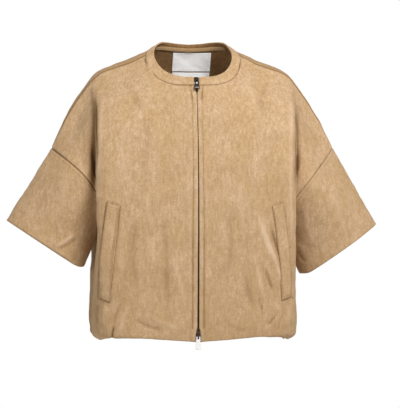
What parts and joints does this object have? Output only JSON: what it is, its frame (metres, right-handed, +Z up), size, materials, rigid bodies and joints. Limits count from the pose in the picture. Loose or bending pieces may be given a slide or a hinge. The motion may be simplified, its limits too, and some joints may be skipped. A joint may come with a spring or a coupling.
{
  "type": "collarless suede jacket",
  "caption": "Boxy cropped camel suede jacket, collarless, with wide short sleeves, a two-way front zip, slanted welt pockets and a drawn-in hem, filled out as if worn.",
  "frame": {"origin": "middle of the neck opening, level with the points where the shoulders meet the neck band", "axes": "+Z up, -Y out of the jacket's front, +X towards the wearer's left"},
  "size_m": [0.7046, 0.2377, 0.5809],
  "materials": {
    "suede": "matte napped suede",
    "zip_tape": "matte woven",
    "neck_tape": "matte woven",
    "label": "soft satin",
    "zip_metal": "dark gunmetal",
    "pull_bright": "bright"
  },
  "bodies": {
    "jacket": {"front_left": "suede", "front_right": "suede", "back": "suede", "neck_band": "suede", "sleeve_left": "suede", "sleeve_right": "suede", "pocket_welt_left": "suede", "pocket_welt_right": "suede", "hem_casing": "suede", "zip_tape_left": "zip_tape", "zip_tape_right": "zip_tape", "neck_tape": "neck_tape", "label_main": "label", "label_size": "label", "zip_chain": "zip_metal", "zip_slider_top": "zip_metal", "zip_slider_bottom": "zip_metal"},
    "pull_top": {"zip_pull_top": "zip_metal"},
    "pull_bottom": {"zip_pull_bottom": "pull_bright"}
  },
  "joints": [
    {"name": "pull_top_swing", "type": "hinge", "parent": "jacket", "child": "pull_top", "pos_m": [0, -0.0838, -0.05995], "axis": [-1, 0, 0], "range_deg": [0, 150]},
    {"name": "pull_bottom_swing", "type": "hinge", "parent": "jacket", "child": "pull_bottom", "pos_m": [0, -0.11653, -0.53957], "axis": [-1, 0, 0], "range_deg": [0, 150]}
  ]
}
